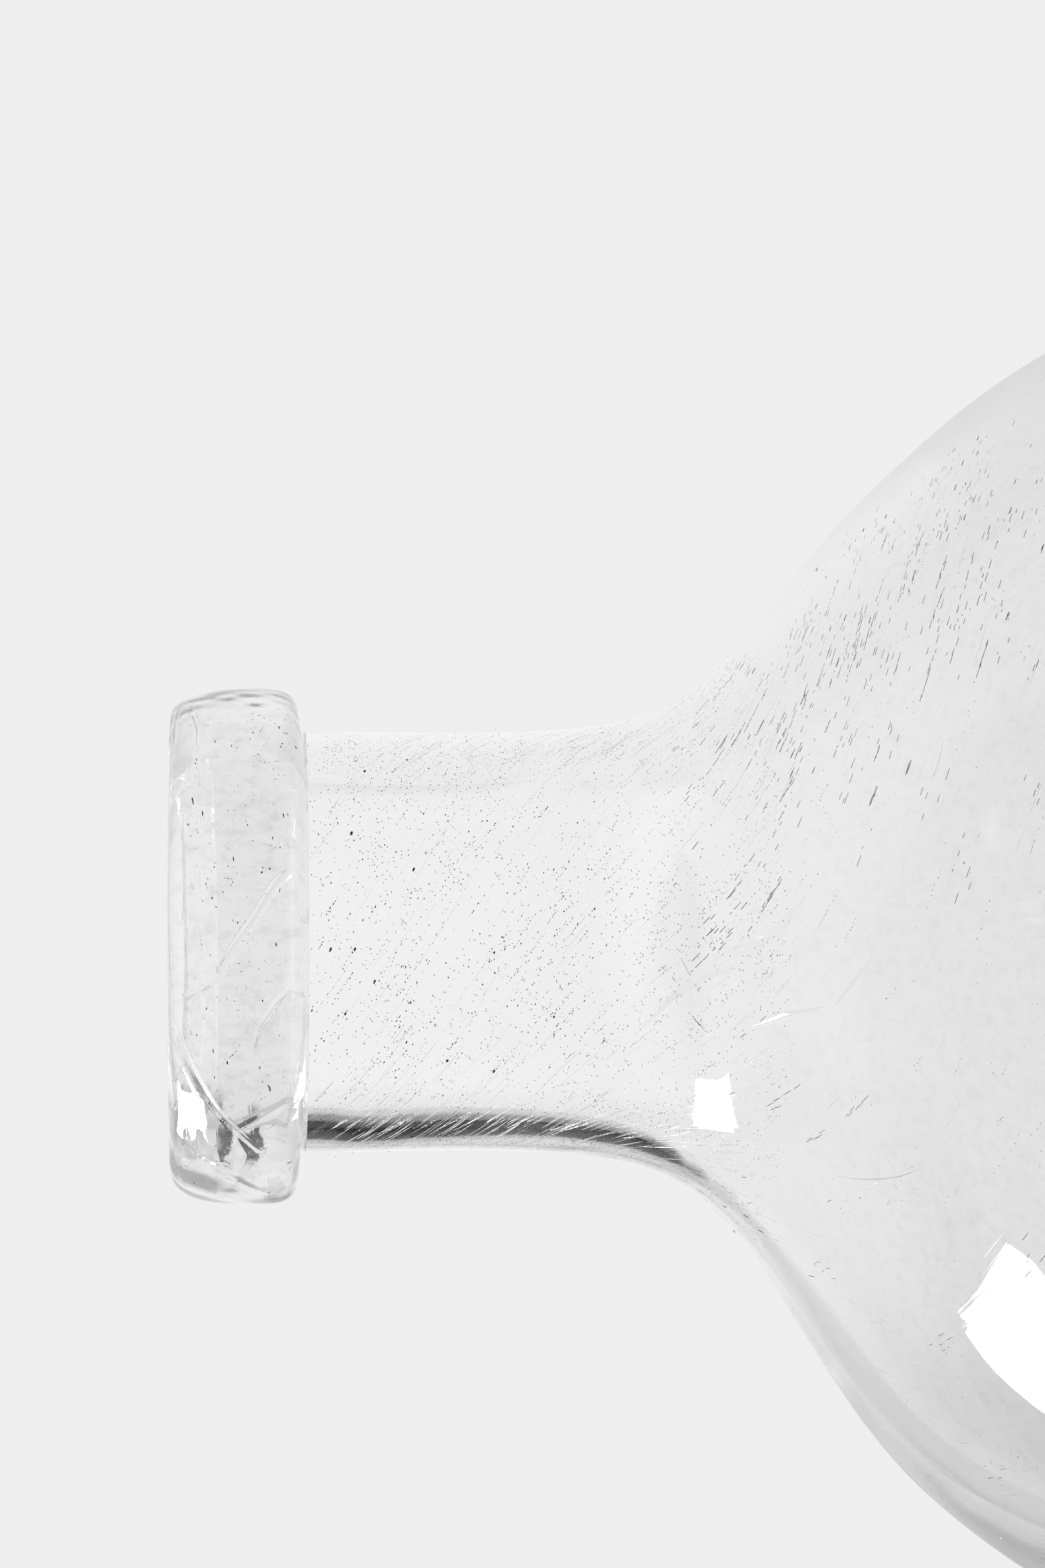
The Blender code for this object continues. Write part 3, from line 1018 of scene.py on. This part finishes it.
def speck_material():
    """Dark grains, from charcoal to rust brown."""
    material, shader, m = new_material("unmelted_grains")
    shader.inputs["Roughness"].default_value = GRAIN_ROUGHNESS
    place = m.nodes.new("ShaderNodeTexCoord")
    kinds = m.noise(place.outputs["Object"], GRAIN_COLOUR_SCALE, detail=0)
    colours = m.nodes.new("ShaderNodeValToRGB")
    dark, rusty = colours.color_ramp.elements
    dark.position = 0.5
    dark.color = CHARCOAL
    rusty.position = 0.75
    rusty.color = RUST
    m.links.new(kinds, colours.inputs["Fac"])
    m.links.new(colours.outputs["Color"], shader.inputs["Base Color"])
    return material


def dress(piece, material, slot, *nodes):
    """Gives a piece its material and its body; its slot is not used. It stands for the CAD nodes named, if
    any.
    """
    piece.data.materials.append(material)
    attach(piece, "root")
    if nodes:
        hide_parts(*nodes)


def make_camera():
    """The camera, turned so that +X is up in its picture."""
    data = bpy.data.cameras.new("camera")
    data.lens = CAMERA_LENS
    data.sensor_width = CAMERA_SENSOR
    data.clip_end = CAMERA_REACH
    camera = linked("camera", data)
    forward = Vector((0, cos(CAMERA_DOWN), -sin(CAMERA_DOWN)))
    picture_right = Vector((0, -sin(CAMERA_DOWN), -cos(CAMERA_DOWN)))
    picture_up = Vector((1, 0, 0))
    turn = Matrix((picture_right, picture_up, -forward)).transposed().to_4x4()
    camera.matrix_world = Matrix.Translation(LOOKED_AT - forward * CAMERA_DISTANCE) @ turn
    bpy.context.scene.camera = camera


def make_softbox():
    """A rectangular softbox, high on the bottle's -X side and a little behind it."""
    light = bpy.data.lights.new("softbox", "AREA")
    light.shape = "RECTANGLE"
    light.size, light.size_y = SOFTBOX_SIZE
    light.energy = SOFTBOX_POWER
    softbox = linked("softbox", light)
    softbox.location = SOFTBOX_AIM + SOFTBOX_WAY * SOFTBOX_DISTANCE
    softbox.rotation_mode = "QUATERNION"
    turn = Quaternion((0, 0, 1), SOFTBOX_TURN)
    softbox.rotation_quaternion = SOFTBOX_WAY.to_track_quat("Z", "X") @ turn
    softbox.visible_camera = False


def make_world():
    """An even pale ground for what the camera sees straight, and a dimmer room to reflect and refract.

    Behind the bottle, the room is dimmer towards -X and has a dark part there.
    """
    world = bpy.data.worlds.new("studio")
    bpy.context.scene.world = world
    world.use_nodes = True
    nodes, links = world.node_tree.nodes, world.node_tree.links
    nodes.clear()
    m = NodeMath(world.node_tree)
    x, y, z = m.split("Generated")
    minus_x = m.times(x, -1)
    behind = m.rise(y, *ROOM_BACK)
    dark = m.times(
        m.rise(minus_x, *DARK_MINUS_X_FROM),
        m.fall(minus_x, *DARK_MINUS_X_TO),
        m.rise(z, *DARK_Z_FROM),
        m.fall(z, *DARK_Z_TO),
        behind,
    )
    dim = m.times(m.rise(minus_x, *DIM_MINUS_X), behind)
    around = m.between(ROOM_IN_FRONT, ROOM_BEHIND, m.rise(y, *ROOM_FRONT_TO_BACK))
    overhead = m.times(m.rise(z, *ROOM_LEVEL_TO_OVERHEAD), ROOM_OVERHEAD)
    room = m.times(
        m.plus(m.times(around, m.fall(z, *ROOM_LEVEL_TO_OVERHEAD)), overhead),
        m.fall(dark, 0, 1, DARK_DEPTH),
        m.fall(dim, 0, 1, DIM_DEPTH),
    )
    room_light = nodes.new("ShaderNodeBackground")
    links.new(room, room_light.inputs["Color"])
    ground = nodes.new("ShaderNodeBackground")
    ground.inputs["Color"].default_value = GROUND_COLOUR
    path = nodes.new("ShaderNodeLightPath")
    choose = nodes.new("ShaderNodeMixShader")
    links.new(path.outputs["Is Camera Ray"], choose.inputs[0])
    links.new(room_light.outputs[0], choose.inputs[1])
    links.new(ground.outputs[0], choose.inputs[2])
    out = nodes.new("ShaderNodeOutputWorld")
    links.new(choose.outputs[0], out.inputs["Surface"])


def flat_sheet(name, corners):
    """A four-cornered sheet."""
    mesh = bpy.data.meshes.new(name)
    mesh.from_pydata(corners, [], [(0, 1, 2, 3)])
    return linked(name, mesh)


def make_backdrop():
    """A sheet close behind the bottle that glows with painted light in place of a lit backdrop, and which
    only the glass shows. It pales towards the mouth, and has painted shade at its sides, above the mouth and
    low down.

    Level with the neck it has an opening on the -X side, through which the room's dark part shows.
    """
    w, h, y = SHEET_HALF_WIDTH, SHEET_TOP, SHEET_Y
    backdrop = flat_sheet("backdrop", [(-w, y, 0), (w, y, 0), (w, y, h), (-w, y, h)])
    backdrop.visible_camera = False
    backdrop.visible_shadow = False
    backdrop.visible_diffuse = False
    material, _, m = new_material("lit_sheet")
    material.cycles.emission_sampling = "NONE"
    m.nodes.clear()
    x, _, z = m.split("Object")
    minus_x = m.times(x, -1)
    # The sheet's glow is painted light, and each darker part is painted shade.
    level = m.times(
        m.between(SHEET_LEVEL_LOW, SHEET_LEVEL_HIGH, m.rise(z, *SHEET_LOW_TO_HIGH)),
        m.fall(x, *SHADE_PLUS_X),
        m.fall(z, *SHADE_ABOVE_MOUTH),
        m.fall(minus_x, *SHADE_MINUS_X),
    )
    # Painted shade low down at the sides.
    for side, outwards, upwards, depth in SHEET_CORNERS:
        corner = m.times(m.fall(z, *upwards), m.rise(m.times(x, side), *outwards))
        level = m.times(level, m.fall(corner, 0, 1, depth))
    opening = m.times(
        m.rise(minus_x, *OPENING_MINUS_X),
        m.rise(z, *OPENING_BOTTOM),
        m.fall(z, *OPENING_TOP),
    )
    glow = m.nodes.new("ShaderNodeEmission")
    m.links.new(level, glow.inputs["Color"])
    m.fade_out(glow.outputs[0], opening, m.nodes.new("ShaderNodeOutputMaterial"))
    backdrop.data.materials.append(material)


def make_floor():
    """A pale table top that fades out into the ground."""
    size = FLOOR_HALF_SIZE
    floor = flat_sheet("floor", [(-size, -size, 0), (size, -size, 0), (size, size, 0), (-size, size, 0)])
    floor.location.z = FLOOR_Z
    material, shader, m = new_material("pale_floor")
    shader.inputs["Base Color"].default_value = FLOOR_COLOUR
    shader.inputs["Roughness"].default_value = FLOOR_ROUGHNESS
    place = m.nodes.new("ShaderNodeTexCoord")
    length = m.nodes.new("ShaderNodeVectorMath")
    length.operation = "LENGTH"
    m.links.new(place.outputs["Object"], length.inputs[0])
    fade = m.rise(length.outputs["Value"], *FLOOR_FADE)
    m.fade_out(shader.outputs[0], fade, m.nodes["Material Output"])
    floor.data.materials.append(material)


def set_light_paths():
    """Glass seen through glass needs deep paths, and the plain view transform keeps the ground's grey."""
    scene = bpy.context.scene
    scene.cycles.max_bounces = LIGHT_BOUNCES
    scene.cycles.transmission_bounces = LIGHT_BOUNCES
    scene.cycles.glossy_bounces = LIGHT_BOUNCES
    scene.cycles.transparent_max_bounces = CLEAR_BOUNCES
    scene.view_settings.view_transform = "Standard"


def main():
    """Makes and dresses the pieces and sets the stage."""
    wall = VesselWall()
    vessel_glass = glass_material(
        "vessel_glass",
        VESSEL_TINT,
        streak_width=0.45 * MM,
        streak_depth=0.0016 * MM,
        patch_depth=0.0015 * MM,
        haze=VESSEL_HAZE,
        haze_from=VESSEL_HAZE_FROM,
    )
    lip_glass = glass_material(
        "lip_glass",
        LIP_TINT,
        streak_width=0.6 * MM,
        streak_depth=0.006 * MM,
        patch_depth=0.004 * MM,
        haze=LIP_HAZE,
        haze_from=LIP_HAZE_FROM,
    )
    pontil_glass = glass_material(
        "pontil_glass",
        PONTIL_TINT,
        streak_width=0.3 * MM,
        streak_depth=0.05 * MM,
        patch_depth=0.3 * MM,
        roughness=0.3,
    )
    seed_air = glass_material("seed_air", AIR_TINT, streak_width=0.45 * MM, streak_depth=0, patch_depth=0)

    dress(make_vessel(wall), vessel_glass, "vessel_glass", "blown_vessel")
    dress(make_lip(), lip_glass, "lip_glass", "applied_lip")
    dress(make_pontil(), pontil_glass, "pontil_glass", "pontil_scar")
    dress(make_seeds(wall), seed_air, "vessel_glass")
    grains = speck_material()
    dress(make_specks(wall), grains, "vessel_glass")
    dress(make_cords(wall), vessel_glass, "vessel_glass")
    lip_seeds, lip_specks = make_lip_seeds()
    dress(lip_seeds, seed_air, "lip_glass")
    dress(lip_specks, grains, "lip_glass")

    make_camera()
    make_softbox()
    make_world()
    make_backdrop()
    make_floor()
    set_light_paths()


main()
